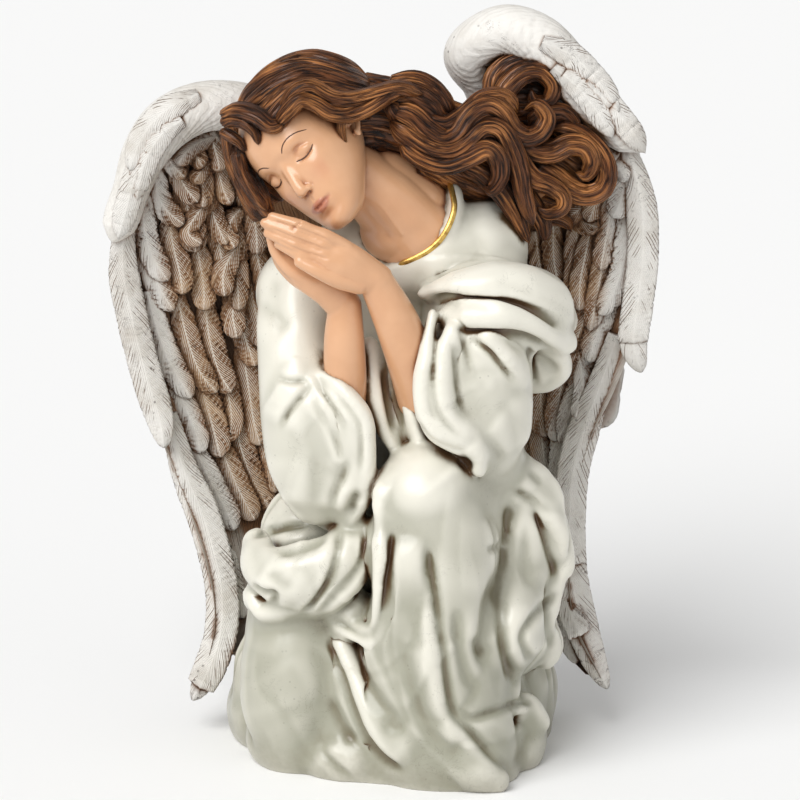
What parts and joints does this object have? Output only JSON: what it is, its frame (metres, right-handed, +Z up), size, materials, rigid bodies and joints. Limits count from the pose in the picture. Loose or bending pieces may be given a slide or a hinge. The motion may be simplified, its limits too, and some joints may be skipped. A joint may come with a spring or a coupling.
{
  "type": "kneeling angel statue",
  "caption": "Painted cast figure of a kneeling angel asleep on folded hands, in a draped robe, with long hair and two tall folded wings.",
  "frame": {"origin": "on the ground, in the middle of the flat underside", "axes": "+Z up; the figure faces -Y; +X is towards her left wing, at the right of the front view"},
  "size_m": [0.2771, 0.1655, 0.3751],
  "materials": {
    "robe": "satin paint with a grey-green and brown wash in the folds",
    "skin": "warm tan paint, low sheen",
    "hair": "copper-brown paint rubbed over dark brown",
    "feathers": "chalky white paint over a brown wash",
    "gilding": "gold paint"
  },
  "bodies": {
    "root": {"angel": "robe"}
  },
  "joints": []
}
